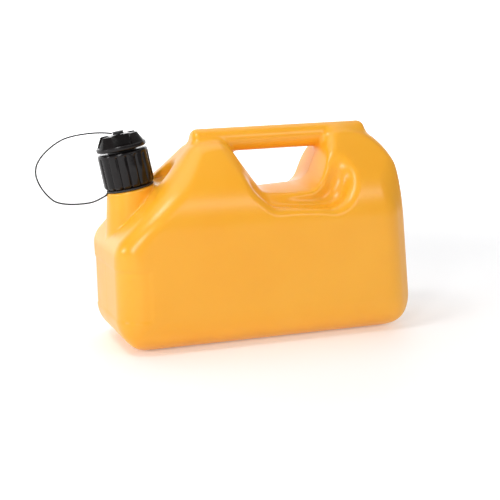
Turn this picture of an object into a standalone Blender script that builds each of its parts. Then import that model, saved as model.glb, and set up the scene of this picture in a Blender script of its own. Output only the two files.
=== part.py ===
"""Five-litre plastic jerry can with a screw closure, a stored pouring spout and a cap tether.

Metres, +Z up. X runs along the can, the neck is at the -X end, and the can stands on z = 0.
The can is one blow-moulded hollow shell with its handle. The closure is a stack of turned
pieces on the neck's own axis, which leans towards -X.
"""
import math

import bmesh
import bpy
from mathutils import Matrix, Vector

# ---- can: driving sizes -------------------------------------------------------------------
LEFT_END = -0.1475
RIGHT_END = 0.1545
WIDTH = 0.134
ARCH_FOOT = 0.1413           # height at which the side walls start to lean in
SLOPE_FOOT = 0.1015         # height of the slope's lower end, at the -X end wall
SHOULDER_LEFT = 0.1908      # height of the shoulder over the slope
SHOULDER_RIGHT = 0.2065     # height at which the shoulder's line would meet the +X end
RIDGE = 0.2170              # height at which the two arched side walls would meet
WALL = 0.0024
EDGE_BEVEL = 0.009          # rounding where end, side and slope walls meet
ARC_STEPS = 5

# corners of the three outlines whose common volume is the can's block: (u, v, radius)
SIDE_CORNERS = [
    (LEFT_END, 0.0, 0.040),
    (RIGHT_END, 0.0, 0.046),
    (RIGHT_END - 0.0090, 0.105, 0.080),
    (RIGHT_END - 0.0170, SHOULDER_RIGHT, 0.052),
    (-0.0602, SHOULDER_LEFT, 0.022),
    (LEFT_END, SLOPE_FOOT, 0.024),
]
FRONT_CORNERS = [
    (-WIDTH / 2, 0.0, 0.038),
    (WIDTH / 2, 0.0, 0.038),
    (WIDTH / 2, ARCH_FOOT, 0.075),
    (0.0, RIDGE, 0.018),
    (-WIDTH / 2, ARCH_FOOT, 0.075),
]
PLAN_CORNERS = [
    (LEFT_END, -WIDTH / 2, 0.026),
    (RIGHT_END, -WIDTH / 2, 0.030),
    (RIGHT_END, WIDTH / 2, 0.030),
    (LEFT_END, WIDTH / 2, 0.026),
]

# ---- handle: the window under it, and the bar over the window -------------------------------
WINDOW_FLOOR = 0.1460
WINDOW_OUTLINE = [          # (x, z, radius) at the mid-plane, open at the top where the bar is
    (0.0075, WINDOW_FLOOR, 0.012),
    (0.0625, WINDOW_FLOOR + 0.0030, 0.019),
    (0.0690, 0.1700, 0.012),
    (0.1030, 0.2400, 0.0),
    (-0.0325, 0.2400, 0.0),
    (-0.0305, 0.1980, 0.010),
]
WINDOW_MOVES = [            # how far each of its corners follows the -X flank, the floor and the +X flank
    (1.0, 0.8, 0.0),
    (0.0, 1.3, 1.0),
    (0.0, 0.0, 1.0),
    (0.0, 0.0, 1.0),
    (1.0, 0.0, 0.0),
    (1.0, 0.0, 0.0),
]
WINDOW_STATIONS = [         # y, then how far the -X flank, the floor and the +X flank have moved out
    (0.0, 0.0, 0.0, 0.0),
    (0.018, 0.0008, 0.0015, -0.0005),
    (0.036, 0.0040, 0.0060, -0.0010),
    (0.042, 0.0070, 0.0090, 0.0070),
    (0.050, 0.0110, 0.0145, 0.0145),
    (0.059, 0.0140, 0.0175, 0.0175),
    (0.075, 0.0165, 0.0195, 0.0190),
]
BAR_RADIUS = 0.0116
BAR_HEIGHT = 0.1932         # at the bar's middle
BAR_PITCH = math.radians(0.7)
BAR_LEFT = -0.0586
BAR_RIGHT = 0.1249
BAR_ROUNDING = 0.006

# ---- neck axis ------------------------------------------------------------------------------
NECK_TILT = math.radians(10.5)
NECK_FOOT = Vector((-0.1191, 0.0, 0.1503))      # centre of the boss's top face
BOSS_RADIUS = 0.0222
BOSS_FOOT_RADIUS = 0.0265   # the boss widens downwards round a vertical line
BOSS_DEPTH = 0.075
RECESS_REACH = 0.048        # finger recess behind the closure, from the neck axis
RECESS_HALF_WIDTH = 0.027
RECESS_HEIGHT = 0.060
RECESS_DROP = 0.0006        # the recess floor lies just under the boss's top face
NECK_RADIUS = 0.0172
NECK_BORE = 0.0146
NECK_HEIGHT = 0.0250
NECK_STEPS = 32

# ---- neck thread and closure, heights along the neck axis from the boss's top face -----------
THREAD_PITCH = 0.0040
THREAD_TURNS = 3.0
THREAD_START = 0.0070
THREAD_DEPTH = 0.0013
THREAD_ROOT = 0.0005        # how far the ridge dips into the neck wall
THREAD_STEPS = 24

RING_LOW, RING_HIGH = 0.0004, 0.0020
RING_BORE, RING_RADIUS = 0.0189, 0.0226

COLLAR_LOW, COLLAR_HIGH = 0.0024, 0.0360
COLLAR_RADIUS = 0.0240
COLLAR_BORE = 0.0190
COLLAR_ROOF = 0.0302        # underside of the collar's top wall
COLLAR_MOUTH = 0.0142
COLLAR_RIBS = 16            # broad ribs between narrow grooves
COLLAR_GROOVE_DEPTH = 0.0009

GASKET_LOW, GASKET_HIGH = 0.0253, 0.0268
GASKET_BORE, GASKET_RADIUS = 0.0132, 0.0186

FLANGE_LOW, FLANGE_HIGH = 0.0271, 0.0299
FLANGE_RADIUS = 0.0186
SOCKET_RADIUS, SOCKET_BORE = 0.0138, 0.0112
SOCKET_HIGH = 0.0370
SPIGOT_RADIUS, SPIGOT_BORE = 0.0120, 0.0092
SPIGOT_LOW = -0.0150

PIECE_GAP = 0.0004          # clearance between hose and nozzle
HOSE_LOW, HOSE_HIGH = -0.1000, -0.0154
HOSE_RADIUS, HOSE_BORE = 0.0118, 0.0090
HOSE_FOLDS = 14
HOSE_FOLD_DEPTH = 0.0012
NOZZLE_LOW = -0.1240
NOZZLE_RADIUS = 0.0108
NOZZLE_TAPER = 0.0030
NOZZLE_WALL = 0.0015

PLUG_LOW, PLUG_HIGH = 0.0382, 0.0520
PLUG_BASE_RADIUS, PLUG_TOP_RADIUS = 0.0238, 0.0184
PLUG_BAND = 0.0040          # height of the unbroken rim below the lugs
PLUG_HUB_RADIUS = 0.0098
PLUG_STEM_RADIUS, PLUG_STEM_LOW = 0.0108, 0.0305
PLUG_PIN_BORE = 0.0022
LUG_COUNT = 4
LUG_GAP_WIDTH = 0.0170
LUG_PHASE = math.radians(-5.0)      # where the first gap lies, from +X
PLUG_FLOOR = 0.0040         # of the hollow stem, above the head's underside
PLUG_STEM_WALL = 0.0020

SEAL_LOW, SEAL_HIGH = 0.0373, 0.0379
SEAL_BORE, SEAL_RADIUS = 0.0112, 0.0138

BUTTON_RADIUS = 0.0055
BUTTON_LOW, BUTTON_HIGH = 0.0523, 0.0550
BUTTON_PIN_RADIUS = 0.0019
BUTTON_PIN_LOW = 0.0440

# ---- tether ---------------------------------------------------------------------------------
TETHER_DIAMETER = 0.0015
TETHER_SPACING = 0.0035
TETHER_ROUTE = [
    (-0.1347, 0.0, 0.2024),
    (-0.1445, 0.0, 0.2033),
    (-0.1575, 0.0, 0.2030),
    (-0.1731, 0.0, 0.2008),
    (-0.1850, 0.0, 0.1965),
    (-0.1972, 0.0, 0.1876),
    (-0.2046, 0.0, 0.1786),
    (-0.2071, 0.0, 0.1706),
    (-0.2061, 0.0, 0.1622),
    (-0.2014, 0.0, 0.1525),
    (-0.1940, 0.0, 0.1438),
    (-0.1880, 0.0, 0.1402),
    (-0.1785, 0.0, 0.1382),
    (-0.1667, 0.0, 0.1378),
    (-0.1545, 0.0, 0.1392),
    (-0.1435, 0.0, 0.1440),
]


# ---- helpers --------------------------------------------------------------------------------
def clear_scene():
    for obj in list(bpy.data.objects):
        bpy.data.objects.remove(obj, do_unlink=True)


def make_material(name, color, roughness, metallic=0.0):
    mat = bpy.data.materials.new(name)
    mat.use_nodes = True
    shader = mat.node_tree.nodes["Principled BSDF"]
    shader.inputs["Base Color"].default_value = (*color, 1.0)
    shader.inputs["Roughness"].default_value = roughness
    shader.inputs["Metallic"].default_value = metallic
    mat.diffuse_color = (*color, 1.0)
    return mat


def object_from(bm, name, mat=None, parent=None):
    """Close a bmesh into an object with outward normals."""
    bmesh.ops.recalc_face_normals(bm, faces=bm.faces)
    mesh = bpy.data.meshes.new(name)
    bm.to_mesh(mesh)
    bm.free()
    obj = bpy.data.objects.new(name, mesh)
    bpy.context.scene.collection.objects.link(obj)
    if mat is not None:
        mesh.materials.append(mat)
    obj.parent = parent
    return obj


def combine(target, tool, operation):
    """Join, cut or intersect target with tool, then drop the tool."""
    mod = target.modifiers.new(operation.lower(), "BOOLEAN")
    mod.operation = operation
    mod.object = tool
    mod.solver = "EXACT"
    bpy.context.view_layer.update()
    graph = bpy.context.evaluated_depsgraph_get()
    mesh = bpy.data.meshes.new_from_object(target.evaluated_get(graph))
    target.modifiers.clear()
    target.data = mesh
    bpy.data.objects.remove(tool, do_unlink=True)
    return target


def shade(obj, angle=35.0):
    obj.data.shade_smooth()
    obj.data.set_sharp_from_angle(angle=math.radians(angle))


def arc_points(corners, steps=ARC_STEPS):
    """Walk a corner list (u, v, radius) as a polygon whose corners are rounded by arcs."""
    points = []
    count = len(corners)
    for index, (u, v, radius) in enumerate(corners):
        here = Vector((u, v))
        back = (Vector(corners[index - 1][:2]) - here).normalized()
        ahead = (Vector(corners[(index + 1) % count][:2]) - here).normalized()
        if radius <= 0.0:
            points.append(here)
            continue
        half = back.angle(ahead) / 2
        reach = radius / math.tan(half)
        centre = here + (back + ahead).normalized() * radius / math.sin(half)
        start = here + back * reach - centre
        sweep = start.angle_signed(here + ahead * reach - centre)
        for step in range(steps + 1):
            turn = -sweep * step / steps
            points.append(centre + Matrix.Rotation(turn, 2) @ start)
    return points


def inset_corners(corners, distance):
    """Move every side of a convex, counter-clockwise corner list inwards by distance."""
    count = len(corners)
    result = []
    for index, (u, v, radius) in enumerate(corners):
        here = Vector((u, v))
        before = (here - Vector(corners[index - 1][:2])).normalized()
        after = (Vector(corners[(index + 1) % count][:2]) - here).normalized()
        normal_before = Vector((-before.y, before.x))
        normal_after = Vector((-after.y, after.x))
        bisector = (normal_before + normal_after).normalized()
        moved = here + bisector * distance / bisector.dot(normal_after)
        rounding = max(radius - distance, 0.0) if radius > 0.0 else 0.0
        result.append((moved.x, moved.y, rounding))
    return result


def prism(name, points, axis, low, high):
    """Extrude a 2D polygon along X (points are y, z), Y (x, z) or Z (x, y)."""
    place = {
        "X": lambda u, v: (low, u, v),
        "Y": lambda u, v: (u, low, v),
        "Z": lambda u, v: (u, v, low),
    }[axis]
    shift = Vector([high - low if axis == letter else 0.0 for letter in "XYZ"])
    bm = bmesh.new()
    face = bm.faces.new([bm.verts.new(place(*point)) for point in points])
    sides = bmesh.ops.extrude_face_region(bm, geom=[face])["geom"]
    moved = [item for item in sides if isinstance(item, bmesh.types.BMVert)]
    bmesh.ops.translate(bm, verts=moved, vec=shift)
    return object_from(bm, name)


def turned(name, profile, steps=NECK_STEPS, mat=None, parent=None):
    """Spin a closed profile of (radius, height) points about the local Z axis."""
    bm = bmesh.new()
    verts = [bm.verts.new((radius, 0.0, height)) for radius, height in profile]
    edges = [bm.edges.new((verts[i - 1], verts[i])) for i in range(len(verts))]
    bmesh.ops.spin(bm, geom=verts + edges, cent=(0, 0, 0), axis=(0, 0, 1),
                   angle=2 * math.pi, steps=steps)
    bmesh.ops.remove_doubles(bm, verts=bm.verts, dist=1e-6)
    loose = [edge for edge in bm.edges if not edge.link_faces]
    bmesh.ops.delete(bm, geom=loose, context="EDGES")
    return object_from(bm, name, mat, parent)


def placed(obj, matrix):
    """Bake a placement into the mesh, so the object can be combined in world axes."""
    obj.data.transform(matrix)
    return obj


# ---- can ------------------------------------------------------------------------------------
def can_block(name, inset):
    """The can without neck, handle or window: three outlines' common volume, edges rounded."""
    margin = 0.02
    block = prism(name, arc_points(inset_corners(SIDE_CORNERS, inset)), "Y", -WIDTH, WIDTH)
    front = prism("front", arc_points(inset_corners(FRONT_CORNERS, inset)), "X",
                  LEFT_END - margin, RIGHT_END + margin)
    plan = prism("plan", arc_points(inset_corners(PLAN_CORNERS, inset)), "Z", -margin, 0.25)
    combine(block, front, "INTERSECT")
    combine(block, plan, "INTERSECT")
    bevel = block.modifiers.new("edges", "BEVEL")
    bevel.width = EDGE_BEVEL
    bevel.segments = 2
    bevel.limit_method = "ANGLE"
    bevel.angle_limit = math.radians(38)
    bpy.context.view_layer.update()
    rounded = block.evaluated_get(bpy.context.evaluated_depsgraph_get()).to_mesh()
    bm = bmesh.new()
    for vert in rounded.vertices:
        bm.verts.new(vert.co)
    bmesh.ops.remove_doubles(bm, verts=bm.verts, dist=0.0008)
    hull = bmesh.ops.convex_hull(bm, input=bm.verts, use_existing_faces=False)
    inner = {item for item in hull["geom_interior"] + hull["geom_unused"]
             if isinstance(item, bmesh.types.BMVert)}
    bmesh.ops.delete(bm, geom=list(inner), context="VERTS")
    bmesh.ops.dissolve_limit(bm, angle_limit=math.radians(0.02), verts=bm.verts, edges=bm.edges)
    bpy.data.objects.remove(block, do_unlink=True)
    return object_from(bm, name)


def window_corners(left, floor, right):
    """The window's outline at a station where its flanks and its floor have moved out."""
    corners = []
    for (x, z, radius), (left_share, floor_share, right_share) in zip(WINDOW_OUTLINE, WINDOW_MOVES):
        moved_x = x - left_share * left + right_share * right
        corners.append((moved_x, z - floor_share * floor, radius))
    return corners


def window_cutter(grow):
    """The finger window, widening in two steps towards both side walls."""
    bm = bmesh.new()
    loops = []
    mirrored = [(-y, *moves) for y, *moves in reversed(WINDOW_STATIONS[1:])]
    for y, *moves in mirrored + WINDOW_STATIONS:
        points = arc_points(inset_corners(window_corners(*moves), -grow), 4)
        loops.append([bm.verts.new((u, y, v)) for u, v in points])
    bm.faces.new(loops[0])
    bm.faces.new(loops[-1])
    for first, second in zip(loops, loops[1:]):
        for i in range(len(first)):
            bm.faces.new((first[i - 1], first[i], second[i], second[i - 1]))
    return object_from(bm, "window")


def recess_cutter(neck, grow):
    """Finger room behind the closure: an oval shaft along the neck axis."""
    bm = bmesh.new()
    bmesh.ops.create_cone(bm, cap_ends=True, segments=40, radius1=1.0, radius2=1.0, depth=1.0)
    size = (RECESS_REACH + grow, RECESS_HALF_WIDTH + grow, RECESS_HEIGHT)
    bmesh.ops.scale(bm, vec=size, verts=bm.verts)
    floor = -RECESS_DROP - grow
    bmesh.ops.translate(bm, vec=(0, 0, RECESS_HEIGHT / 2 + floor), verts=bm.verts)
    return placed(object_from(bm, "recess"), neck)


def bar_solid(grow):
    """The handle bar: a straight round tube with rounded ends."""
    radius = BAR_RADIUS - grow
    middle = (BAR_LEFT + BAR_RIGHT) / 2
    low = BAR_LEFT - middle + grow
    high = BAR_RIGHT - middle - grow
    nose = BAR_ROUNDING
    profile = [(0.0, low), (radius - nose, low), (radius - 0.3 * nose, low + 0.3 * nose),
               (radius, low + nose), (radius, high - nose),
               (radius - 0.3 * nose, high - 0.3 * nose), (radius - nose, high), (0.0, high)]
    along_x = (Matrix.Translation((middle, 0, BAR_HEIGHT))
               @ Matrix.Rotation(math.pi / 2 - BAR_PITCH, 4, "Y"))
    return placed(turned("bar", profile, 24), along_x)


def neck_solid(neck, grow, top):
    """Boss and neck as one turned solid: the outside with grow 0, the hollow with grow WALL."""
    radius = NECK_BORE if grow else NECK_RADIUS
    profile = [(0.0, -BOSS_DEPTH), (BOSS_FOOT_RADIUS - grow, -BOSS_DEPTH), (BOSS_RADIUS - grow, -grow),
               (radius, -grow), (radius, top), (0.0, top)]
    half_step = Matrix.Rotation(math.pi / NECK_STEPS if grow else 0.0, 4, "Z")
    solid = placed(turned("neck", profile), half_step)
    for vert in solid.data.vertices:
        if vert.co.z < -BOSS_DEPTH / 2:
            vert.co.x -= BOSS_DEPTH * math.tan(NECK_TILT)
    return placed(solid, neck)


def thread_ridge(neck):
    """A helical ridge of triangular section that dips into the neck wall."""
    bm = bmesh.new()
    root = NECK_RADIUS - THREAD_ROOT
    crest = NECK_RADIUS + THREAD_DEPTH
    half = THREAD_PITCH * 0.3
    rings = []
    total = int(THREAD_TURNS * THREAD_STEPS)
    for step in range(total + 1):
        angle = 2 * math.pi * step / THREAD_STEPS
        height = THREAD_START + THREAD_PITCH * step / THREAD_STEPS
        section = [(root, -half), (crest, -half * 0.35), (crest, half * 0.35), (root, half)]
        rings.append([bm.verts.new((r * math.cos(angle), r * math.sin(angle), height + h))
                      for r, h in section])
    bm.faces.new(rings[0])
    bm.faces.new(rings[-1])
    for first, second in zip(rings, rings[1:]):
        for i in range(4):
            bm.faces.new((first[i - 1], first[i], second[i], second[i - 1]))
    return placed(object_from(bm, "thread"), neck)


def make_tank(neck, mat):
    tank = can_block("tank", 0.0)
    combine(tank, window_cutter(0.0), "DIFFERENCE")
    combine(tank, recess_cutter(neck, 0.0), "DIFFERENCE")
    combine(tank, neck_solid(neck, 0.0, NECK_HEIGHT), "UNION")
    combine(tank, bar_solid(0.0), "UNION")

    inside = can_block("inside", WALL)
    combine(inside, window_cutter(WALL), "DIFFERENCE")
    combine(inside, recess_cutter(neck, WALL), "DIFFERENCE")
    combine(inside, neck_solid(neck, WALL, NECK_HEIGHT + 0.005), "UNION")
    combine(inside, bar_solid(WALL), "UNION")
    combine(tank, inside, "DIFFERENCE")
    combine(tank, thread_ridge(neck), "UNION")
    tank.data.materials.clear()
    tank.data.materials.append(mat)
    shade(tank)
    return tank


# ---- closure --------------------------------------------------------------------------------
def make_collar(neck, mat):
    """Union nut: a ribbed shell with a top wall, open where the spout's socket comes through."""
    bm = bmesh.new()
    levels = [(COLLAR_LOW, COLLAR_RADIUS - 0.0022), (COLLAR_LOW + 0.0026, COLLAR_RADIUS),
              (COLLAR_HIGH - 0.0012, COLLAR_RADIUS), (COLLAR_HIGH, COLLAR_RADIUS - 0.0012)]
    per_rib = 6
    count = COLLAR_RIBS * per_rib
    loops = []
    for height, radius in levels:
        loop = []
        for index in range(count):
            angle = 2 * math.pi * index / count
            dip = COLLAR_GROOVE_DEPTH if index % per_rib == 0 else 0.0
            reach = radius - dip
            loop.append(bm.verts.new((reach * math.cos(angle), reach * math.sin(angle), height)))
        loops.append(loop)
    bm.faces.new(loops[0])
    bm.faces.new(loops[-1])
    for first, second in zip(loops, loops[1:]):
        for i in range(count):
            bm.faces.new((first[i - 1], first[i], second[i], second[i - 1]))
    collar = object_from(bm, "collar", mat, neck)
    over = 0.002
    combine(collar, turned("bore", [(0.0, COLLAR_LOW - over), (COLLAR_BORE, COLLAR_LOW - over),
                                    (COLLAR_BORE, COLLAR_ROOF), (0.0, COLLAR_ROOF)],
                           parent=neck), "DIFFERENCE")
    combine(collar, turned("mouth", [(0.0, COLLAR_ROOF - over), (COLLAR_MOUTH, COLLAR_ROOF - over),
                                     (COLLAR_MOUTH, COLLAR_HIGH + over), (0.0, COLLAR_HIGH + over)],
                           parent=neck), "DIFFERENCE")
    shade(collar, 25)
    return collar


def make_plug(neck, mat):
    """Castellated knob: a tapered head with lugs round a hub, and a hollow stopper stem."""
    shoulder = PLUG_LOW + PLUG_BAND
    stem_bore = PLUG_STEM_RADIUS - PLUG_STEM_WALL
    profile = [
        (PLUG_PIN_BORE, PLUG_LOW + PLUG_FLOOR), (stem_bore, PLUG_LOW + PLUG_FLOOR),
        (stem_bore, PLUG_STEM_LOW), (PLUG_STEM_RADIUS, PLUG_STEM_LOW),
        (PLUG_STEM_RADIUS, PLUG_LOW), (PLUG_BASE_RADIUS - 0.0010, PLUG_LOW),
        (PLUG_BASE_RADIUS, PLUG_LOW + 0.0012), (PLUG_BASE_RADIUS, shoulder),
        (PLUG_TOP_RADIUS, PLUG_HIGH), (PLUG_PIN_BORE, PLUG_HIGH),
    ]
    plug = turned("plug", profile, 48, mat, neck)
    for index in range(LUG_COUNT):
        bm = bmesh.new()
        bmesh.ops.create_cube(bm, size=1.0)
        length = PLUG_BASE_RADIUS
        height = PLUG_HIGH - shoulder
        bmesh.ops.scale(bm, vec=(length, LUG_GAP_WIDTH, height * 2), verts=bm.verts)
        middle = (PLUG_HUB_RADIUS + length / 2, 0, shoulder + height + 0.0006)
        bmesh.ops.translate(bm, vec=middle, verts=bm.verts)
        turn = Matrix.Rotation(LUG_PHASE + 2 * math.pi * index / LUG_COUNT, 4, "Z")
        bmesh.ops.transform(bm, matrix=turn, verts=bm.verts)
        combine(plug, object_from(bm, "gap", None, neck), "DIFFERENCE")
    shade(plug, 30)
    return plug


def make_spout_base(neck, mat):
    """Flanged adaptor clamped by the collar: socket above for the plug, spigot below."""
    profile = [
        (SPIGOT_BORE, SPIGOT_LOW), (SPIGOT_RADIUS, SPIGOT_LOW), (SPIGOT_RADIUS, FLANGE_LOW),
        (FLANGE_RADIUS, FLANGE_LOW), (FLANGE_RADIUS, FLANGE_HIGH), (SOCKET_RADIUS, FLANGE_HIGH),
        (SOCKET_RADIUS, SOCKET_HIGH), (SOCKET_BORE, SOCKET_HIGH), (SOCKET_BORE, FLANGE_LOW),
        (SPIGOT_BORE, FLANGE_LOW - 0.002),
    ]
    return turned("spout_base", profile, mat=mat, parent=neck)


def make_spout_hose(neck, mat):
    """Flexible pouring spout: a corrugated tube."""
    outer = []
    fold = (HOSE_HIGH - HOSE_LOW) / HOSE_FOLDS
    for index in range(HOSE_FOLDS):
        low = HOSE_LOW + fold * index
        outer.append((HOSE_RADIUS - HOSE_FOLD_DEPTH, low + PIECE_GAP))
        outer.append((HOSE_RADIUS, low + fold / 2))
    outer.append((HOSE_RADIUS - HOSE_FOLD_DEPTH, HOSE_HIGH))
    profile = [(HOSE_BORE, HOSE_LOW + PIECE_GAP)] + outer + [(HOSE_BORE, HOSE_HIGH)]
    return turned("spout_hose", profile, 24, mat, neck)


def make_spout_nozzle(neck, mat):
    """Rigid tip of the pouring spout."""
    tip = NOZZLE_RADIUS - NOZZLE_TAPER
    bore = NOZZLE_RADIUS - NOZZLE_WALL
    profile = [
        (tip - NOZZLE_WALL, NOZZLE_LOW), (tip, NOZZLE_LOW),
        (NOZZLE_RADIUS, HOSE_LOW - NOZZLE_TAPER), (NOZZLE_RADIUS, HOSE_LOW),
        (bore, HOSE_LOW), (bore, HOSE_LOW - NOZZLE_TAPER),
    ]
    return turned("spout_nozzle", profile, 24, mat, neck)


def flat_ring(name, bore, radius, low, high, mat, neck, steps=NECK_STEPS):
    profile = [(bore, low), (radius, low), (radius, high), (bore, high)]
    return turned(name, profile, steps, mat, neck)


def make_button(neck, mat):
    """Swivel button that ends the tether: a flat head on a pin through the plug's hub."""
    profile = [
        (0.0, BUTTON_PIN_LOW), (BUTTON_PIN_RADIUS, BUTTON_PIN_LOW),
        (BUTTON_PIN_RADIUS, BUTTON_LOW), (BUTTON_RADIUS, BUTTON_LOW),
        (BUTTON_RADIUS, BUTTON_HIGH - 0.0006), (BUTTON_RADIUS - 0.0006, BUTTON_HIGH),
        (0.0, BUTTON_HIGH),
    ]
    return turned("tether_button", profile, 24, mat, neck)


def smooth_route(points, spacing):
    """A Catmull-Rom curve through the points, sampled at an even spacing."""
    knots = [Vector(point) for point in points]
    ends = [2 * knots[0] - knots[1]] + knots + [2 * knots[-1] - knots[-2]]
    dense = []
    for a, b, c, d in zip(ends, ends[1:], ends[2:], ends[3:]):
        for step in range(24):
            t = step / 24
            dense.append(0.5 * (2 * b + (c - a) * t + (2 * a - 5 * b + 4 * c - d) * t ** 2
                                + (3 * b - 3 * c + d - a) * t ** 3))
    dense.append(knots[-1])
    total = sum((q - p).length for p, q in zip(dense, dense[1:]))
    count = max(2, round(total / spacing))
    result = [dense[0]]
    walked = 0.0
    for p, q in zip(dense, dense[1:]):
        stretch = (q - p).length
        while len(result) < count and walked + stretch >= total * len(result) / count:
            part = (total * len(result) / count - walked) / stretch
            result.append(p.lerp(q, part))
        walked += stretch
    result.append(dense[-1])
    return result


def make_tether(mat):
    points = smooth_route(TETHER_ROUTE, TETHER_SPACING)
    curve = bpy.data.curves.new("tether", "CURVE")
    curve.dimensions = "3D"
    curve.bevel_depth = TETHER_DIAMETER / 2
    curve.bevel_resolution = 2
    curve.use_fill_caps = True
    curve.render_resolution_u = 0
    spline = curve.splines.new("POLY")
    spline.points.add(len(points) - 1)
    for target, point in zip(spline.points, points):
        target.co = (*point, 1.0)
    curve.materials.append(mat)
    tether = bpy.data.objects.new("tether", curve)
    bpy.context.scene.collection.objects.link(tether)
    return tether


def main():
    clear_scene()
    orange = make_material("orange_polyethylene", (0.93, 0.42, 0.045), 0.38)
    black = make_material("black_plastic", (0.020, 0.018, 0.018), 0.28)
    grey_cord = make_material("cord_plastic", (0.035, 0.037, 0.040), 0.45)
    rubber = make_material("seal_rubber", (0.015, 0.015, 0.015), 0.70)

    lean = Matrix.Translation(NECK_FOOT) @ Matrix.Rotation(-NECK_TILT, 4, "Y")
    neck = bpy.data.objects.new("neck_axis", None)
    bpy.context.scene.collection.objects.link(neck)
    neck.matrix_world = lean
    bpy.context.view_layer.update()

    make_tank(lean, orange)
    flat_ring("tether_ring", RING_BORE, RING_RADIUS, RING_LOW, RING_HIGH, grey_cord, neck)
    make_collar(neck, black)
    flat_ring("neck_gasket", GASKET_BORE, GASKET_RADIUS, GASKET_LOW, GASKET_HIGH, rubber, neck)
    make_spout_base(neck, black)
    make_spout_hose(neck, black)
    make_spout_nozzle(neck, black)
    make_plug(neck, black)
    flat_ring("plug_seal", SEAL_BORE, SEAL_RADIUS, SEAL_LOW, SEAL_HIGH, rubber, neck)
    make_button(neck, grey_cord)
    make_tether(grey_cord)


main()
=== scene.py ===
"""Looks of the five-litre jerry can: fine surfaces, materials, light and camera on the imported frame.

Metres, +Z up. The neck's axis leans towards -X, and the closure's pieces are turned round it.
"""
import math

import bmesh
import bpy
import numpy as np
from mathutils import Matrix, Vector


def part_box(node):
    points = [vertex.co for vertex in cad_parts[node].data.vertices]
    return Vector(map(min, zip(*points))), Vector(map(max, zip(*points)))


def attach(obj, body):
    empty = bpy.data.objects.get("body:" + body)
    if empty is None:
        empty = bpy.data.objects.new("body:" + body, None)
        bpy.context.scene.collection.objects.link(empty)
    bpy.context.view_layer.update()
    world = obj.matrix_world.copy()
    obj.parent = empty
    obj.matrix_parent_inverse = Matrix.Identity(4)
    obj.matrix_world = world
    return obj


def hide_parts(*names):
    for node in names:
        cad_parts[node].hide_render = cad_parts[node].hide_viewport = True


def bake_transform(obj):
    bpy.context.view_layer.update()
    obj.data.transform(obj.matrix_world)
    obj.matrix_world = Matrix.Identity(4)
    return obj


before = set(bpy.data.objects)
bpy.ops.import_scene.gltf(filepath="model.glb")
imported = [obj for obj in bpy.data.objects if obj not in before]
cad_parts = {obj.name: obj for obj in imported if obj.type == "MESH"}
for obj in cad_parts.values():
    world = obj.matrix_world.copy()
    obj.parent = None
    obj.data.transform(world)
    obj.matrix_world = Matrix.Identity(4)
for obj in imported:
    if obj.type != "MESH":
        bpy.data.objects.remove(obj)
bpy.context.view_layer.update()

# ---- the can's driving sizes ----------------------------------------------------------------
TANK_LOW, TANK_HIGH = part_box("tank")
LEFT_END = -0.1475
RIGHT_END = 0.1545
HALF_WIDTH = TANK_HIGH[1]
WALL = 0.0060               # deeper than the real wall, so that one mesh holds both its faces
BOTTOM_ROUNDING = 0.036     # all round the foot
RAIL_ROUNDING = 0.009       # along the top and the arched sides
SLOPE_ROUNDING = 0.019      # along the slope below the closure
LEFT_CORNER, RIGHT_CORNER = 0.026, 0.030    # upright corners

RIGHT_LEAN = 0.0745         # how far the right end leans in, for each metre of height
BELOW = -0.5                # the outlines run past the foot, which is a plane of its own
SIDE_OUTLINE = [            # (x, z, radius) counter-clockwise
    (LEFT_END, BELOW, 0.0),
    (RIGHT_END - RIGHT_LEAN * BELOW, BELOW, 0.0),
    (RIGHT_END - 0.0155, 0.2080, 0.046),
    (-0.0602, 0.1908, 0.022),
    (LEFT_END, 0.1015, 0.024),
]
FRONT_OUTLINE = [           # (y, z, radius)
    (-HALF_WIDTH, BELOW, 0.0),
    (HALF_WIDTH, BELOW, 0.0),
    (HALF_WIDTH, 0.1413, 0.075),
    (0.0, 0.2170, 0.018),
    (-HALF_WIDTH, 0.1413, 0.075),
]

# ---- finger window: a tunnel, and a wider recess round its mouth in each side wall ----------
TUNNEL_OUTLINE = [          # (x, z, radius) at the mid-plane
    (0.0075, 0.1460, 0.012),
    (0.0602, 0.1490, 0.019),
    (0.0969, 0.2400, 0.0),
    (-0.0612, 0.2400, 0.0),
]
TUNNEL_DROP = 0.0075        # how much lower the tunnel's floor lies at the recess
LEFT_FLARE = 0.0060         # how much wider the tunnel is at the recess, on the neck's side
RECESS_START = 0.0420       # distance of the recess's wall from the mid-plane
RECESS_FALL = 0.06          # slope of its ledge towards the side wall
RECESS_OUTLINE = [
    (0.0040, 0.1310, 0.015),
    (0.0740, 0.1265, 0.024),
    (0.0885, 0.1510, 0.030),
    (0.0840, 0.1800, 0.020),
    (0.0700, 0.2400, 0.0),
    (-0.0416, 0.2400, 0.0),
    (-0.0128, 0.1465, 0.020),
]
LEFT_FLANK, RIGHT_FLANK = (-0.005, 0.035), (0.048, 0.074)   # x over which each flank fades in
RECESS_FLOOR_EDGE = (0.0075, 0.0065)    # roundings: at the window's middle, and what a flank adds
RECESS_RIM_EDGE = (0.0065, 0.0030)
TUNNEL_EDGE = (0.0045, 0.0040)
BAR_RADIUS = 0.0116
BAR_MIDDLE = (0.03315, 0.1937)
BAR_HALF_LENGTH = 0.09175
BAR_PITCH = math.radians(1.05)
BAR_END_ROUNDING, BAR_BLEND = 0.007, 0.0050

# ---- grip panels pressed into the corners beside the neck -----------------------------------
PANEL_DEPTH = 0.0008
PANEL_LOW, PANEL_HIGH = 0.0330, 0.0805
PANEL_EDGE_X = -0.1190
LEDGE_HALF_HEIGHT, LEDGE_HALF_DEPTH = 0.0008, 0.003     # how softly the panel ends, in z and in x

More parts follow.
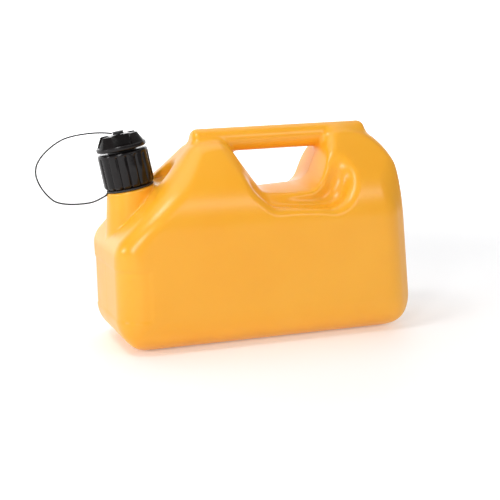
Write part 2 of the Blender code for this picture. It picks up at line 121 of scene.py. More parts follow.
# ---- neck axis ------------------------------------------------------------------------------
NECK_TILT = math.radians(10.5)
NECK_FOOT = Vector((-0.1191, 0.0, 0.1503))
NECK = Matrix.Translation(NECK_FOOT) @ Matrix.Rotation(-NECK_TILT, 4, "Y")
NECK_RADIUS, NECK_BORE, NECK_HEIGHT = 0.0172, 0.0146, 0.0250
THREAD_PITCH, THREAD_START, THREAD_TURNS, THREAD_DEPTH = 0.0040, 0.0070, 3.0, 0.0013
BOSS_RADIUS = 0.0222
BOSS_DRAFT = 0.058
BOSS_DEPTH = 0.060
BOSS_EDGE = 0.0012          # rounding of its rim and of the crease round its foot
FINGER_REACH, FINGER_HALF_WIDTH = 0.047, 0.023      # finger recess behind the closure

# ---- closure, heights along the neck axis from the boss's top face ---------------------------
COLLAR_LOW, COLLAR_HIGH, COLLAR_RADIUS = 0.0024, 0.0360, 0.0240
COLLAR_LOBES = 16
GROOVE_DEPTH, GROOVE_HALF_ANGLE = 0.0012, math.radians(2.6)
LOBE_PHASE = math.radians(-119.4)
PLUG_LOW, PLUG_HIGH = 0.0382, 0.0520
PLUG_BASE_RADIUS, PLUG_TOP_RADIUS, PLUG_BAND = 0.0238, 0.0184, 0.0040
PLUG_HUB_RADIUS = 0.0098
LUG_COUNT = 4
LUG_PHASE = math.radians(-5.0)
LUG_GAP_WIDTH = 0.0170

PLUG_PIN_BORE, PLUG_STEM_BORE, PLUG_STEM_RADIUS = 0.0022, 0.0088, 0.0108
PLUG_STEM_LOW, PLUG_FLOOR = 0.0305, PLUG_LOW + 0.0040
COLLAR_BORE, COLLAR_ROOF, COLLAR_MOUTH = 0.0190, 0.0302, 0.0142
SOCKET_RADIUS, SOCKET_BORE, SOCKET_HIGH = 0.0138, 0.0112, 0.0370
FLANGE_RADIUS, FLANGE_LOW, FLANGE_HIGH = 0.0186, 0.0271, 0.0299
PIPE_RADIUS, PIPE_BORE, PIPE_LOW = 0.0120, 0.0092, -0.0150      # the adaptor's lower end
HOSE_LOW, HOSE_HIGH, HOSE_GAP = -0.1000, -0.0154, 0.0002
HOSE_BORE, HOSE_RADIUS, FOLD_DEPTH, HOSE_FOLDS = 0.0090, 0.0106, 0.0012, 14
NOZZLE_LOW, NOZZLE_NECK, NOZZLE_HIGH = -0.1240, -0.1030, -0.1002
NOZZLE_TIP, NOZZLE_RADIUS, NOZZLE_BORE = 0.0078, 0.0108, 0.0092
NOZZLE_TIP_BORE = 0.0064
GASKET_BORE, GASKET_LOW, GASKET_HIGH = 0.0132, 0.0253, 0.0268
SEAL_LOW, SEAL_HIGH = 0.0373, 0.0379

# ---- tether ---------------------------------------------------------------------------------
TETHER_DIAMETER = 0.0015
TETHER_SPACING = 0.0020
TAIL_BENDS = [Vector((-0.1424, 0.0, 0.1449)), Vector((-0.1412, 0.0, 0.1464))]
TAIL_END = NECK @ Vector((-0.0215, 0.0, 0.0012))
RING_BORE, RING_RADIUS, RING_LOW, RING_HIGH = 0.0189, 0.0226, 0.0004, 0.0020
TETHER_ROUTE = [
    (-0.1347, 0.0, 0.2024),
    (-0.1445, 0.0, 0.2033),
    (-0.1575, 0.0, 0.2030),
    (-0.1731, 0.0, 0.2008),
    (-0.1850, 0.0, 0.1965),
    (-0.1972, 0.0, 0.1876),
    (-0.2046, 0.0, 0.1786),
    (-0.2071, 0.0, 0.1706),
    (-0.2061, 0.0, 0.1622),
    (-0.2014, 0.0, 0.1525),
    (-0.1940, 0.0, 0.1438),
    (-0.1880, 0.0, 0.1402),
    (-0.1785, 0.0, 0.1382),
    (-0.1667, 0.0, 0.1378),
    (-0.1545, 0.0, 0.1392),
    (-0.1435, 0.0, 0.1440),
]


# ---- camera and light -----------------------------------------------------------------------
CAMERA_ANGLES = (-19.71, 9.32, -1.22)       # azimuth, elevation and roll in degrees
CAMERA_DISTANCE = 1.0059
CAMERA_TARGET = Vector((0.0003, 0.0, 0.0815))
FLOOR_REACH, WALL_RISE = 4.0, 3.5


def make_camera():
    azimuth, elevation, roll = (math.radians(a) for a in CAMERA_ANGLES)
    back = Vector((math.sin(azimuth) * math.cos(elevation),
                   -math.cos(azimuth) * math.cos(elevation), math.sin(elevation)))
    right = Vector((math.cos(azimuth), math.sin(azimuth), 0.0))
    level = Matrix((right, back.cross(right), back)).transposed().to_4x4()
    data = bpy.data.cameras.new("camera")
    data.sensor_width = 36.0
    data.lens = 72.34
    data.clip_start = 0.02
    camera = bpy.data.objects.new("camera", data)
    camera.matrix_world = (Matrix.Translation(CAMERA_TARGET + back * CAMERA_DISTANCE)
                           @ level @ Matrix.Rotation(roll, 4, "Z"))
    bpy.context.scene.collection.objects.link(camera)
    bpy.context.scene.camera = camera


def area_light(name, place, aim, size, power):
    data = bpy.data.lights.new(name, "AREA")
    data.shape = "RECTANGLE"
    data.size, data.size_y = size
    data.energy = power
    light = bpy.data.objects.new(name, data)
    light.location = place
    direction = Vector(aim) - Vector(place)
    light.rotation_euler = direction.to_track_quat("-Z", "Y").to_euler()
    bpy.context.scene.collection.objects.link(light)


def stage_plane(name, corners, mat):
    mesh = bpy.data.meshes.new(name)
    mesh.from_pydata(corners, [], [(0, 1, 2, 3)])
    mesh.materials.append(mat)
    plane = bpy.data.objects.new(name, mesh)
    bpy.context.scene.collection.objects.link(plane)


def make_stage():
    """White studio: a pale floor, a glowing wall far behind, and soft boxes above and to the left."""
    reach, rise = FLOOR_REACH, WALL_RISE
    stage_plane("floor", [(-reach, -reach, 0), (reach, -reach, 0), (reach, reach, 0),
                          (-reach, reach, 0)], pale_stage("pale_floor", 0.22, 0.75))
    stage_plane("wall", [(-2 * reach, reach, -0.1), (2 * reach, reach, -0.1),
                         (2 * reach, reach, rise), (-2 * reach, reach, rise)],
                pale_stage("pale_wall", 1.0, 1.0))

    world = bpy.data.worlds.new("studio")
    world.use_nodes = True
    background = world.node_tree.nodes["Background"]
    background.inputs["Color"].default_value = (1.0, 1.0, 1.0, 1.0)
    background.inputs["Strength"].default_value = 0.26
    bpy.context.scene.world = world

    area_light("top_box", (-0.05, 0.35, 1.20), (0.0, 0.0, 0.10), (1.4, 0.8), 4.0)
    area_light("key_box", (-0.52, -0.25, 1.05), (0.0, 0.0, 0.12), (0.26, 0.26), 3.2)
    area_light("left_box", (-1.60, -0.12, 0.50), (0.0, 0.0, 0.10), (0.30, 0.30), 5.0)
    area_light("front_box", (-1.00, -1.35, 0.75), (0.0, 0.0, 0.10), (0.25, 0.50), 8.0)
    area_light("strip_box", (0.70, -1.65, 1.15), (0.0, 0.0, 0.10), (1.2, 0.40), 7.0)


# ---- materials ------------------------------------------------------------------------------
def new_material(name):
    mat = bpy.data.materials.new(name)
    mat.use_nodes = True
    tree = mat.node_tree
    return mat, tree, tree.nodes["Principled BSDF"]


def noise(tree, scale, detail=3.0):
    node = tree.nodes.new("ShaderNodeTexNoise")
    coordinates = tree.nodes.new("ShaderNodeTexCoord")
    tree.links.new(coordinates.outputs["Object"], node.inputs["Vector"])
    node.inputs["Scale"].default_value = scale
    node.inputs["Detail"].default_value = detail
    return node


def ramp(tree, source, stops):
    """A colour ramp over a 0 to 1 value: stops are (position, colour)."""
    node = tree.nodes.new("ShaderNodeValToRGB")
    elements = node.color_ramp.elements
    for element, (position, color) in zip(elements, (stops[0], stops[-1])):
        element.position = position
        element.color = (*color, 1.0)
    for position, color in stops[1:-1]:
        elements.new(position).color = (*color, 1.0)
    tree.links.new(source, node.inputs["Fac"])
    return node.outputs["Color"]


def spread(tree, source, low, high):
    """Map a 0 to 1 value to a range."""
    node = tree.nodes.new("ShaderNodeMapRange")
    node.inputs["To Min"].default_value = low
    node.inputs["To Max"].default_value = high
    tree.links.new(source, node.inputs["Value"])
    return node.outputs["Result"]


def bump(tree, height, distance, below=None):
    node = tree.nodes.new("ShaderNodeBump")
    node.inputs["Distance"].default_value = distance
    tree.links.new(height, node.inputs["Height"])
    if below is not None:
        tree.links.new(below, node.inputs["Normal"])
    return node.outputs["Normal"]


def seam_height(tree, width):
    """A thin ridge along the mould's parting plane, y = 0."""
    coordinates = tree.nodes.new("ShaderNodeTexCoord")
    split = tree.nodes.new("ShaderNodeSeparateXYZ")
    tree.links.new(coordinates.outputs["Object"], split.inputs["Vector"])
    distance = tree.nodes.new("ShaderNodeMath")
    distance.operation = "ABSOLUTE"
    tree.links.new(split.outputs["Y"], distance.inputs[0])
    ridge = tree.nodes.new("ShaderNodeMapRange")
    ridge.interpolation_type = "SMOOTHSTEP"
    ridge.inputs["From Max"].default_value = width
    ridge.inputs["To Min"].default_value = 1.0
    ridge.inputs["To Max"].default_value = 0.0
    tree.links.new(distance.outputs[0], ridge.inputs["Value"])
    return ridge.outputs["Result"]


def orange_polyethylene():
    """Satin blow-moulded polyethylene: slightly cloudy colour, soft ripple, parting-line ridge."""
    mat, tree, shader = new_material("orange_polyethylene")
    cloud = noise(tree, 9.0)
    color = ramp(tree, cloud.outputs["Fac"],
                 [(0.30, (0.910, 0.392, 0.018)), (0.70, (0.940, 0.432, 0.026))])
    tree.links.new(color, shader.inputs["Base Color"])
    patches = noise(tree, 38.0)
    tree.links.new(spread(tree, patches.outputs["Fac"], 0.26, 0.34), shader.inputs["Roughness"])
    shader.inputs["Subsurface Weight"].default_value = 0.12
    shader.inputs["Subsurface Radius"].default_value = (0.012, 0.005, 0.0012)
    shader.inputs["Subsurface Scale"].default_value = 1.0
    shader.inputs["IOR"].default_value = 1.50
    grain = noise(tree, 900.0, 2.0)
    ripple = noise(tree, 26.0, 1.0)
    fine = bump(tree, grain.outputs["Fac"], 0.00002)
    soft = bump(tree, ripple.outputs["Fac"], 0.00025, fine)
    tree.links.new(bump(tree, seam_height(tree, 0.0007), 0.00025, soft), shader.inputs["Normal"])
    return mat


def black_plastic():
    """Glossy injection-moulded plastic with a faint orange-peel surface."""
    mat, tree, shader = new_material("black_plastic")
    cloud = noise(tree, 60.0)
    color = ramp(tree, cloud.outputs["Fac"],
                 [(0.3, (0.004, 0.003, 0.003)), (0.7, (0.008, 0.006, 0.006))])
    tree.links.new(color, shader.inputs["Base Color"])
    scuff = noise(tree, 300.0)
    tree.links.new(spread(tree, scuff.outputs["Fac"], 0.12, 0.22), shader.inputs["Roughness"])
    shader.inputs["IOR"].default_value = 1.46
    shader.inputs["Specular IOR Level"].default_value = 0.36
    peel = noise(tree, 420.0, 1.0)
    tree.links.new(bump(tree, peel.outputs["Fac"], 0.00003), shader.inputs["Normal"])
    return mat


def cord_plastic():
    """Dull grey-black extruded cord, faintly streaked along its length."""
    mat, tree, shader = new_material("cord_plastic")
    streak = noise(tree, 800.0)
    color = ramp(tree, streak.outputs["Fac"],
                 [(0.3, (0.012, 0.012, 0.014)), (0.7, (0.026, 0.027, 0.029))])
    tree.links.new(color, shader.inputs["Base Color"])
    tree.links.new(spread(tree, streak.outputs["Fac"], 0.38, 0.55), shader.inputs["Roughness"])
    tree.links.new(bump(tree, streak.outputs["Fac"], 0.00004), shader.inputs["Normal"])
    return mat


def seal_rubber():
    mat, tree, shader = new_material("seal_rubber")
    speck = noise(tree, 1200.0)
    color = ramp(tree, speck.outputs["Fac"],
                 [(0.3, (0.010, 0.010, 0.010)), (0.7, (0.026, 0.025, 0.024))])
    tree.links.new(color, shader.inputs["Base Color"])
    tree.links.new(spread(tree, speck.outputs["Fac"], 0.60, 0.80), shader.inputs["Roughness"])
    tree.links.new(bump(tree, speck.outputs["Fac"], 0.00005), shader.inputs["Normal"])
    return mat


def pale_stage(name, near_glow, far_glow):
    """Matt white paper, faintly uneven, glowing more away from the can to hide where it ends."""
    mat, tree, shader = new_material(name)
    shade = noise(tree, 3.0)
    color = ramp(tree, shade.outputs["Fac"], [(0.3, (0.84, 0.84, 0.85)), (0.7, (0.86, 0.86, 0.87))])
    tree.links.new(color, shader.inputs["Base Color"])
    shader.inputs["Roughness"].default_value = 0.6
    coordinates = tree.nodes.new("ShaderNodeTexCoord")
    distance = tree.nodes.new("ShaderNodeVectorMath")
    distance.operation = "LENGTH"
    tree.links.new(coordinates.outputs["Object"], distance.inputs[0])
    glow = tree.nodes.new("ShaderNodeMapRange")
    glow.interpolation_type = "SMOOTHSTEP"
    glow.inputs["From Min"].default_value = 0.45
    glow.inputs["From Max"].default_value = 1.60
    glow.inputs["To Min"].default_value = near_glow
    glow.inputs["To Max"].default_value = far_glow
    tree.links.new(distance.outputs["Value"], glow.inputs["Value"])
    tree.links.new(glow.outputs["Result"], shader.inputs["Emission Strength"])
    shader.inputs["Emission Color"].default_value = (1.0, 1.0, 1.0, 1.0)
    return mat


# ---- shapes as distances, negative inside ---------------------------------------------------
def rounded_max(radius, first, second):
    """The common part of two shapes, its edge rounded."""
    edge = np.sqrt(np.maximum(first + radius, 0.0) ** 2 + np.maximum(second + radius, 0.0) ** 2)
    return np.minimum(np.maximum(first, second), -radius) + edge


def rounded_min(radius, first, second):
    """Both shapes together, the crease between them filled."""
    return -rounded_max(radius, -first, -second)


def smooth_step(value, low, high):
    t = np.clip((value - low) / (high - low), 0.0, 1.0)
    return t * t * (3.0 - 2.0 * t)


def outline_distance(u, v, corners):
    """Distance to a convex, counter-clockwise outline of corners (u, v, radius)."""
    normals, result = [], None
    for (u0, v0, _), (u1, v1, _) in zip(corners, corners[1:] + corners[:1]):
        length = math.hypot(u1 - u0, v1 - v0)
        normal = ((v1 - v0) / length, (u0 - u1) / length)
        wall = (u - u0) * normal[0] + (v - v0) * normal[1]
        normals.append(normal)
        result = wall if result is None else np.maximum(result, wall)
    for index, (u0, v0, radius) in enumerate(corners):
        before, after = normals[index - 1], normals[index]
        reach = radius / (1.0 + before[0] * after[0] + before[1] * after[1])
        du = u - u0 + reach * (before[0] + after[0])
        dv = v - v0 + reach * (before[1] + after[1])
        in_arc = (dv * before[0] - du * before[1] > 0) & (dv * after[0] - du * after[1] < 0)
        result = np.where(in_arc, np.hypot(du, dv) - radius, result)
    return result


def neck_coordinates(x, z):
    """Height along the neck axis and distance across it in the XZ plane, from the neck's foot."""
    dx, dz = x - NECK_FOOT.x, z - NECK_FOOT.z
    along = -math.sin(NECK_TILT) * dx + math.cos(NECK_TILT) * dz
    across = math.cos(NECK_TILT) * dx + math.sin(NECK_TILT) * dz
    return along, across


def window_cut(body, x, y, z):
    """Take the tunnel and the recess round its mouth out of the body, softer at both flanks."""
    reach = np.abs(y)
    left = 1.0 - smooth_step(x, *LEFT_FLANK)
    flank = np.maximum(left, smooth_step(x, *RIGHT_FLANK))
    fall = RECESS_FALL * (reach - RECESS_START)
    recess = outline_distance(x, z + fall, RECESS_OUTLINE)
    floor_edge = RECESS_FLOOR_EDGE[0] + RECESS_FLOOR_EDGE[1] * flank
    recess = rounded_max(floor_edge, recess, RECESS_START - 0.0050 * flank - reach)
    body = rounded_max(RECESS_RIM_EDGE[0] + RECESS_RIM_EDGE[1] * flank, body, -recess)
    share = np.minimum(reach / RECESS_START, 1.0) ** 1.5
    tunnel = outline_distance(x + LEFT_FLARE * share * left, z + TUNNEL_DROP * share, TUNNEL_OUTLINE)
    rounding = TUNNEL_EDGE[0] + TUNNEL_EDGE[1] * np.maximum(left, smooth_step(z, 0.165, 0.190))
    return rounded_max(rounding, body, -tunnel)


def handle_bar(x, y, z):
    offset = x - BAR_MIDDLE[0]
    rise = z - BAR_MIDDLE[1] - math.tan(BAR_PITCH) * offset
    round_bar = np.sqrt(y * y + rise * rise) - BAR_RADIUS
    return rounded_max(BAR_END_ROUNDING, round_bar, np.abs(offset) - BAR_HALF_LENGTH)


def can_hull(x, y, z):
    """Side and front outlines crossed, each rounded into the foot, with rounded corners and rails."""
    side = outline_distance(x, z, SIDE_OUTLINE)
    front = outline_distance(y, z, FRONT_OUTLINE)
    rail = SLOPE_ROUNDING + (RAIL_ROUNDING - SLOPE_ROUNDING) * smooth_step(x, -0.085, -0.045)
    left = LEFT_CORNER + (rail - LEFT_CORNER) * smooth_step(z, 0.070, 0.115)
    right = rail + (RIGHT_CORNER - rail) * smooth_step(np.abs(y), 0.038, 0.060)
    rounding = left + (right - left) * smooth_step(x, -0.02, 0.05)
    rounding = rounding * (0.05 + 0.95 * smooth_step(z, 0.0, BOTTOM_ROUNDING))
    near_corner = smooth_step(np.minimum(side, front), -1.8 * LEFT_CORNER, -LEFT_CORNER)
    footed_side = rounded_max(BOTTOM_ROUNDING, side, -z)
    footed_front = rounded_max(BOTTOM_ROUNDING, front, -z)
    return rounded_max(rounding * near_corner + 1e-6, footed_side, footed_front)


def can_skin(x, y, z):
    """The can's outer surface without its neck."""
    body = can_hull(x, y, z)
    rise, depth = LEDGE_HALF_HEIGHT, LEDGE_HALF_DEPTH
    panel = smooth_step(z, PANEL_LOW - rise, PANEL_LOW + rise)
    panel = panel * (1.0 - smooth_step(z, PANEL_HIGH - rise, PANEL_HIGH + rise))
    panel = panel * (1.0 - smooth_step(x, PANEL_EDGE_X - depth, PANEL_EDGE_X + depth))
    body = body + PANEL_DEPTH * panel
    body = window_cut(body, x, y, z)
    body = rounded_min(BAR_BLEND, body, handle_bar(x, y, z))

    along, across = neck_coordinates(x, z)
    oval = np.sqrt((across / FINGER_REACH) ** 2 + (y / FINGER_HALF_WIDTH) ** 2) - 1.0
    finger = rounded_max(0.003, FINGER_HALF_WIDTH * oval, -0.0006 - along)
    body = rounded_max(0.0018, body, -finger)
    radius = BOSS_RADIUS + BOSS_DRAFT * (NECK_FOOT.z - z)
    column = np.sqrt((x - NECK_FOOT.x) ** 2 + y * y) - radius
    boss = np.maximum(rounded_max(BOSS_EDGE, column, along), NECK_FOOT.z - BOSS_DEPTH - z)
    return rounded_min(BOSS_EDGE, body, boss)


def can_shell(x, y, z):
    """The can as a hollow wall, open where the neck stands."""
    skin = can_skin(x, y, z)
    along, across = neck_coordinates(x, z)
    bore = rounded_max(0.0005, np.sqrt(across ** 2 + y * y) - NECK_BORE, np.abs(along) - 0.010)
    return np.maximum(skin, -rounded_min(0.001, skin + WALL, bore))


def surface_points(values, cells, low, step):
    """One point in each cell that the surface crosses: the mean of its crossings."""
    corner = {}
    for offset in np.ndindex(2, 2, 2):
        corner[offset] = values[tuple(cells[:, axis] + offset[axis] for axis in range(3))]
    total = np.zeros((len(cells), 3))
    count = np.zeros(len(cells))
    for axis in range(3):
        for start in np.ndindex(2, 2, 2):
            if start[axis] == 1:
                continue
            end = tuple(1 if a == axis else start[a] for a in range(3))
            first, second = corner[start], corner[end]
            crossed = (first < 0) != (second < 0)
            share = np.where(crossed, first / np.where(crossed, first - second, 1.0), 0.0)
            point = np.tile(np.array(start, float), (len(cells), 1))
            point[:, axis] = share
            total += point * crossed[:, None]
            count += crossed
    return np.array(low) + (cells + total / count[:, None]) * step


def settle(points, distance, step, rounds=3):
    """Move each point along the distance's slope until it lies on the surface."""
    probe = 0.0001
    for _ in range(rounds):
        here = distance(*points.T)
        slope = np.stack([distance(*(points + probe * np.eye(3)[axis]).T) - here
                          for axis in range(3)], axis=1) / probe
        length = np.maximum((slope ** 2).sum(axis=1), 0.2)
        move = np.clip(here / length, -0.4 * step, 0.4 * step)
        points = points - move[:, None] * slope
    return points


def surface_mesh(name, distance, low, high, step):
    """A closed quad mesh of the surface where distance is zero (surface nets)."""
    axes = [np.arange(a, b + step, step) for a, b in zip(low, high)]
    values = distance(*np.ix_(*axes))
    inside = values < 0
    corners = 0
    for offset in np.ndindex(2, 2, 2):
        window = tuple(slice(o, size - 1 + o) for o, size in zip(offset, inside.shape))
        corners = corners + inside[window].astype(int)
    active = (corners > 0) & (corners < 8)
    cells = np.argwhere(active)
    index = np.full(active.shape, -1)
    index[active] = np.arange(len(cells))
    points = settle(surface_points(values, cells, low, step), distance, step)

    quads = []
    for axis in range(3):
        right, up = (axis + 1) % 3, (axis + 2) % 3
        before = np.take(inside, range(inside.shape[axis] - 1), axis=axis)
        after = np.take(inside, range(1, inside.shape[axis]), axis=axis)
        edges = np.argwhere(before != after)
        around = []
        for back_right, back_up in ((1, 1), (0, 1), (0, 0), (1, 0)):
            cell = edges.copy()
            cell[:, right] -= back_right
            cell[:, up] -= back_up
            around.append(index[tuple(cell.T)])
        quad = np.stack(around, axis=1)
        outward = before[tuple(edges.T)]
        quads.append(np.where(outward[:, None], quad, quad[:, ::-1]))
    mesh = bpy.data.meshes.new(name)
    mesh.from_pydata(points.tolist(), [], np.concatenate(quads).tolist())
    mesh.shade_smooth()
    return mesh


# ---- pieces ---------------------------------------------------------------------------------
def add_piece(name, mesh, mat, body, slot, *nodes):
    """Link a mesh that is already in its place, hang it on its body's empty and hide the frame's nodes
    that it replaces.
    """
    piece = bpy.data.objects.new(name, mesh)
    bpy.context.scene.collection.objects.link(piece)
    mesh.materials.clear()
    mesh.materials.append(mat)
    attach(piece, body)
    if nodes:
        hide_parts(*nodes)


def turned_mesh(name, profile, steps=96, radius_at=None, sharp=35.0):
    """Spin a closed profile of (radius, height) round the neck axis. radius_at may shape the radius."""
    rows = []
    for radius, height in profile:
        row = []
        for step in range(steps):
            angle = 2 * math.pi * step / steps
            reach = radius if radius_at is None else radius_at(radius, height, angle)
            row.append(NECK @ Vector((reach * math.cos(angle), reach * math.sin(angle), height)))
        rows.append(row)
    verts = [tuple(point) for row in rows for point in row]
    faces = []
    for i in range(len(rows)):
        j = (i + 1) % len(rows)
        for step in range(steps):
            after = (step + 1) % steps
            faces.append((i * steps + step, i * steps + after, j * steps + after, j * steps + step))
    mesh = bpy.data.meshes.new(name)
    mesh.from_pydata(verts, [], faces)
    bm = bmesh.new()
    bm.from_mesh(mesh)
    bmesh.ops.remove_doubles(bm, verts=bm.verts, dist=1e-7)
    bmesh.ops.recalc_face_normals(bm, faces=bm.faces)
    bm.to_mesh(mesh)
    bm.free()
    mesh.shade_smooth()
    mesh.set_sharp_from_angle(angle=math.radians(sharp))
    return mesh


def soften(profile, radius, steps=3):
    """Round every corner of a closed profile by up to radius."""
    result = []
    count = len(profile)
    for index, (r, h) in enumerate(profile):
        here = Vector((r, h))
        back = Vector(profile[index - 1]) - here
        ahead = Vector(profile[(index + 1) % count]) - here
        if r < 1e-6 or back.length < 1e-7 or ahead.length < 1e-7:
            result.append((r, h))
            continue
        reach = min(radius, 0.4 * back.length, 0.4 * ahead.length)
        start, end = here + back.normalized() * reach, here + ahead.normalized() * reach
        for step in range(steps + 1):
            t = step / steps
            point = (1 - t) ** 2 * start + 2 * t * (1 - t) * here + t * t * end
            result.append((point.x, point.y))
    return result


def make_tank(mat):
    step = 0.0016
    margin = 0.005
    low = [value - margin for value in TANK_LOW]
    high = [TANK_HIGH[0] + margin, TANK_HIGH[1] + margin, 0.212]
    mesh = surface_mesh("can", can_shell, low, high, step)
    add_piece("can", mesh, mat, "can", "orange_polyethylene", "tank")

    def thread(radius, height, angle):
        """The helical ridge stands on the neck's outer wall only."""
        if radius < NECK_RADIUS - 0.0001:
            return radius
        turns = (height - THREAD_START) / THREAD_PITCH - angle / (2 * math.pi)
        if not -0.3 < turns < THREAD_TURNS:
            return radius
        offset = abs((turns + 0.5) % 1.0 - 0.5)
        return radius + THREAD_DEPTH * max(0.0, 1.0 - max(0.0, offset - 0.10) / 0.16)

    rows = 72
    wall = [(NECK_RADIUS, -0.0015 + (NECK_HEIGHT + 0.0010) * row / rows) for row in range(rows + 1)]
    lip = [(NECK_RADIUS - 0.0006, NECK_HEIGHT), (NECK_BORE + 0.0005, NECK_HEIGHT)]
    bore = [(NECK_BORE, NECK_HEIGHT - 0.0005), (NECK_BORE, -0.0015)]
    neck = turned_mesh("can_neck", wall + lip + bore, 120, thread, 50)
    add_piece("can_neck", neck, mat, "can", "orange_polyethylene")


def make_collar(mat):
    """Union nut with broad lobes between narrow grooves that stop under its plain top rim."""
    def lobed(radius, height, angle):
        if radius < COLLAR_RADIUS - 0.0030:
            return radius
        pitch = 2 * math.pi / COLLAR_LOBES
        offset = (angle - LOBE_PHASE + pitch / 2) % pitch - pitch / 2
        groove = GROOVE_DEPTH * math.exp(-(offset / GROOVE_HALF_ANGLE) ** 2)
        crown = 0.0003 * (2 * abs(offset) / pitch - 1.0) ** 2
        top = COLLAR_HIGH - 0.0022
        fade = min(1.0, max(0.0, (top - height) / 0.0016))
        return radius - (groove + crown) * fade

    radius = COLLAR_RADIUS
    low, high = COLLAR_LOW, COLLAR_HIGH
    outer = [(radius - 0.0022, low), (radius - 0.0004, low + 0.0020), (radius, low + 0.0030),
             (radius, high - 0.0120), (radius, high - 0.0050), (radius, high - 0.0038),
             (radius, high - 0.0034), (radius, high - 0.0030), (radius, high - 0.0026),
             (radius, high - 0.0022), (radius, high - 0.0014), (radius - 0.0003, high - 0.0006),
             (radius - 0.0012, high)]
    inner = [(COLLAR_MOUTH, high), (COLLAR_MOUTH, COLLAR_ROOF), (COLLAR_BORE, COLLAR_ROOF),
             (COLLAR_BORE, low)]
    mesh = turned_mesh("collar", outer + inner, 320, lobed, 40)
    add_piece("collar", mesh, mat, "collar", "black_plastic", "collar")


def applied_mesh(piece):
    """The piece's mesh with its modifiers applied."""
    bpy.context.view_layer.update()
    graph = bpy.context.evaluated_depsgraph_get()
    return bpy.data.meshes.new_from_object(piece.evaluated_get(graph))


def make_plug(mat):
    """Castellated knob: four lugs with sloping faces round a hub, on an unbroken rim."""
    shoulder = PLUG_LOW + PLUG_BAND
    profile = soften([
        (PLUG_PIN_BORE, PLUG_FLOOR), (PLUG_STEM_BORE, PLUG_FLOOR),
        (PLUG_STEM_BORE, PLUG_STEM_LOW), (PLUG_STEM_RADIUS, PLUG_STEM_LOW),
        (PLUG_STEM_RADIUS, PLUG_LOW), (PLUG_BASE_RADIUS - 0.0008, PLUG_LOW),
        (PLUG_BASE_RADIUS, PLUG_LOW + 0.0010),
        (PLUG_BASE_RADIUS, shoulder - 0.0004), (PLUG_BASE_RADIUS - 0.0006, shoulder),
        (PLUG_TOP_RADIUS, PLUG_HIGH), (PLUG_PIN_BORE, PLUG_HIGH),
    ], 0.0003, 2)
    mesh = turned_mesh("plug", profile, 96)
    plug = bpy.data.objects.new("plug_blank", mesh)
    bpy.context.scene.collection.objects.link(plug)
    gap_height = PLUG_HIGH - shoulder
    for index in range(LUG_COUNT):
        bm = bmesh.new()
        bmesh.ops.create_cube(bm, size=1.0)
        bmesh.ops.scale(bm, vec=(PLUG_BASE_RADIUS, LUG_GAP_WIDTH, 2 * gap_height), verts=bm.verts)
        middle = (PLUG_HUB_RADIUS + PLUG_BASE_RADIUS / 2, 0.0, shoulder + gap_height + 0.0004)
        bmesh.ops.translate(bm, vec=middle, verts=bm.verts)
        turn = Matrix.Rotation(LUG_PHASE + 2 * math.pi * index / LUG_COUNT, 4, "Z")
        bmesh.ops.transform(bm, matrix=NECK @ turn, verts=bm.verts)
        tool_mesh = bpy.data.meshes.new("gap")
        bm.to_mesh(tool_mesh)
        bm.free()
        tool = bpy.data.objects.new("gap", tool_mesh)
        bpy.context.scene.collection.objects.link(tool)
        cut = plug.modifiers.new("gap", "BOOLEAN")
        cut.operation = "DIFFERENCE"
        cut.object = tool
        cut.solver = "EXACT"
        result = applied_mesh(plug)
        plug.modifiers.clear()
        plug.data = result
        bpy.data.objects.remove(tool, do_unlink=True)
    bevel = plug.modifiers.new("edges", "BEVEL")
    bevel.width = 0.00045
    bevel.segments = 2
    bevel.limit_method = "ANGLE"
    bevel.angle_limit = math.radians(35)
    bevel.miter_outer = "MITER_ARC"
    final = applied_mesh(plug)
    bpy.data.objects.remove(plug, do_unlink=True)
    final.name = "plug"
    final.shade_smooth()
    final.set_sharp_from_angle(angle=math.radians(32))
    add_piece("plug", final, mat, "plug", "black_plastic", "plug")


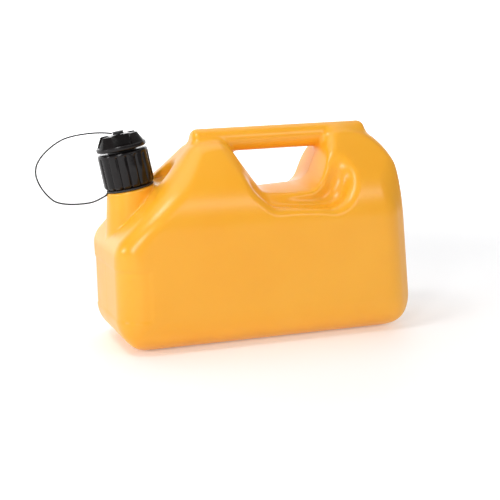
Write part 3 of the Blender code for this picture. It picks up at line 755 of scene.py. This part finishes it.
def make_spout(black, rubber):
    """Flanged adaptor, corrugated hose and nozzle, with the neck gasket and the plug's seal."""
    def turned_piece(name, profile, mat, body, slot, steps=96):
        add_piece(name, turned_mesh(name, profile, steps), mat, body, slot, name)

    base = soften([(PIPE_BORE, PIPE_LOW), (PIPE_RADIUS, PIPE_LOW), (PIPE_RADIUS, FLANGE_LOW),
                   (FLANGE_RADIUS, FLANGE_LOW), (FLANGE_RADIUS, FLANGE_HIGH),
                   (SOCKET_RADIUS, FLANGE_HIGH), (SOCKET_RADIUS, SOCKET_HIGH),
                   (SOCKET_BORE, SOCKET_HIGH), (SOCKET_BORE, FLANGE_LOW),
                   (PIPE_BORE, FLANGE_LOW - 0.0020)], 0.0003)
    turned_piece("spout_base", base, black, "spout", "black_plastic")

    low = HOSE_LOW + HOSE_GAP
    rows = 12 * HOSE_FOLDS
    outer = []
    for row in range(rows + 1):
        share = row / rows
        wave = 0.5 - 0.5 * math.cos(2 * math.pi * HOSE_FOLDS * share)
        outer.append((HOSE_RADIUS + FOLD_DEPTH * wave, low + (HOSE_HIGH - low) * share))
    hose = [(HOSE_BORE, low)] + outer + [(HOSE_BORE, HOSE_HIGH)]
    turned_piece("spout_hose", hose, black, "spout", "black_plastic", 48)

    nozzle = soften([(NOZZLE_TIP_BORE, NOZZLE_LOW), (NOZZLE_TIP, NOZZLE_LOW),
                     (NOZZLE_RADIUS, NOZZLE_NECK), (NOZZLE_RADIUS, NOZZLE_HIGH),
                     (NOZZLE_BORE, NOZZLE_HIGH), (NOZZLE_BORE, NOZZLE_NECK)], 0.0003)
    turned_piece("spout_nozzle", nozzle, black, "spout", "black_plastic", 48)

    gasket = soften([(GASKET_BORE, GASKET_LOW), (FLANGE_RADIUS, GASKET_LOW),
                     (FLANGE_RADIUS, GASKET_HIGH), (GASKET_BORE, GASKET_HIGH)], 0.0003)
    turned_piece("neck_gasket", gasket, rubber, "spout", "seal_rubber")
    seal = soften([(SOCKET_BORE, SEAL_LOW), (SOCKET_RADIUS, SEAL_LOW),
                   (SOCKET_RADIUS, SEAL_HIGH), (SOCKET_BORE, SEAL_HIGH)], 0.0002)
    turned_piece("plug_seal", seal, rubber, "plug", "seal_rubber")


def smooth_route(points, spacing):
    """A Catmull-Rom curve through the points, sampled at an even spacing."""
    knots = [Vector(point) for point in points]
    ends = [2 * knots[0] - knots[1]] + knots + [2 * knots[-1] - knots[-2]]
    dense = []
    for a, b, c, d in zip(ends, ends[1:], ends[2:], ends[3:]):
        for step in range(24):
            t = step / 24
            dense.append(0.5 * (2 * b + (c - a) * t + (2 * a - 5 * b + 4 * c - d) * t ** 2
                                + (3 * b - 3 * c + d - a) * t ** 3))
    dense.append(knots[-1])
    walked = [0.0]
    for p, q in zip(dense, dense[1:]):
        walked.append(walked[-1] + (q - p).length)
    count = max(2, round(walked[-1] / spacing))
    stations = np.linspace(0, walked[-1], count + 1)
    result = [np.interp(stations, walked, [p[axis] for p in dense]) for axis in range(3)]
    return [Vector(point) for point in zip(*result)], walked[-1]


def tube_mesh(name, route, radius, sides=12):
    """A round tube with closed ends along a route in the mid-plane."""
    bm = bmesh.new()
    rings = []
    for index, point in enumerate(route):
        ahead = route[min(index + 1, len(route) - 1)] - route[max(index - 1, 0)]
        across = Vector((0.0, 1.0, 0.0))
        upright = ahead.cross(across).normalized()
        ring = []
        for side in range(sides):
            angle = 2 * math.pi * side / sides
            offset = across * math.cos(angle) + upright * math.sin(angle)
            ring.append(bm.verts.new(point + offset * radius))
        rings.append(ring)
    for first, second in zip(rings, rings[1:]):
        for side in range(sides):
            bm.faces.new((first[side - 1], first[side], second[side], second[side - 1]))
    bm.faces.new(rings[0])
    bm.faces.new(rings[-1])
    bmesh.ops.recalc_face_normals(bm, faces=bm.faces)
    mesh = bpy.data.meshes.new(name)
    bm.to_mesh(mesh)
    bm.free()
    mesh.shade_smooth()
    mesh.set_sharp_from_angle(angle=math.radians(50))
    return mesh


def make_tether(mat):
    """The cord along its route, its lower end on the ring, its upper on the button."""
    route, length = smooth_route(TETHER_ROUTE, TETHER_SPACING)
    mesh = tube_mesh("tether_cord", route, TETHER_DIAMETER / 2)
    mesh.materials.append(mat)
    cord = bpy.data.objects.new("tether_cord", mesh)
    bpy.context.scene.collection.objects.link(cord)
    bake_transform(cord)
    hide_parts("tether")


def make_tether_ends(mat):
    """The loose ring under the collar with the tail that holds the cord, and the swivel button."""
    tail_route = [Vector(TETHER_ROUTE[-1])] + TAIL_BENDS + [TAIL_END]
    tail = tube_mesh("tether_tail", tail_route, 0.6 * TETHER_DIAMETER)
    add_piece("tether_tail", tail, mat, "spout", "cord_plastic")
    ring = soften([(RING_BORE, RING_LOW), (RING_RADIUS, RING_LOW),
                   (RING_RADIUS, RING_HIGH), (RING_BORE, RING_HIGH)], 0.0004)
    mesh = turned_mesh("tether_ring", ring)
    add_piece("tether_ring", mesh, mat, "spout", "cord_plastic", "tether_ring")
    button = [(0.0, 0.0440), (0.0019, 0.0440), (0.0019, 0.0523), (0.0050, 0.0523), (0.0053, 0.0525),
              (0.0053, 0.0532), (0.0048, 0.0535), (0.0048, 0.0538), (0.0055, 0.0541), (0.0055, 0.0546),
              (0.0050, 0.0550), (0.0, 0.0550)]
    mesh = turned_mesh("tether_button", button, 48)
    add_piece("tether_button", mesh, mat, "tether_end", "cord_plastic", "tether_button")


def main():
    make_camera()
    orange, black = orange_polyethylene(), black_plastic()
    cord, rubber = cord_plastic(), seal_rubber()
    make_tether(cord)
    make_stage()
    make_tank(orange)
    make_collar(black)
    make_plug(black)
    make_spout(black, rubber)
    make_tether_ends(cord)
    bpy.context.scene.view_settings.view_transform = "Standard"


main()
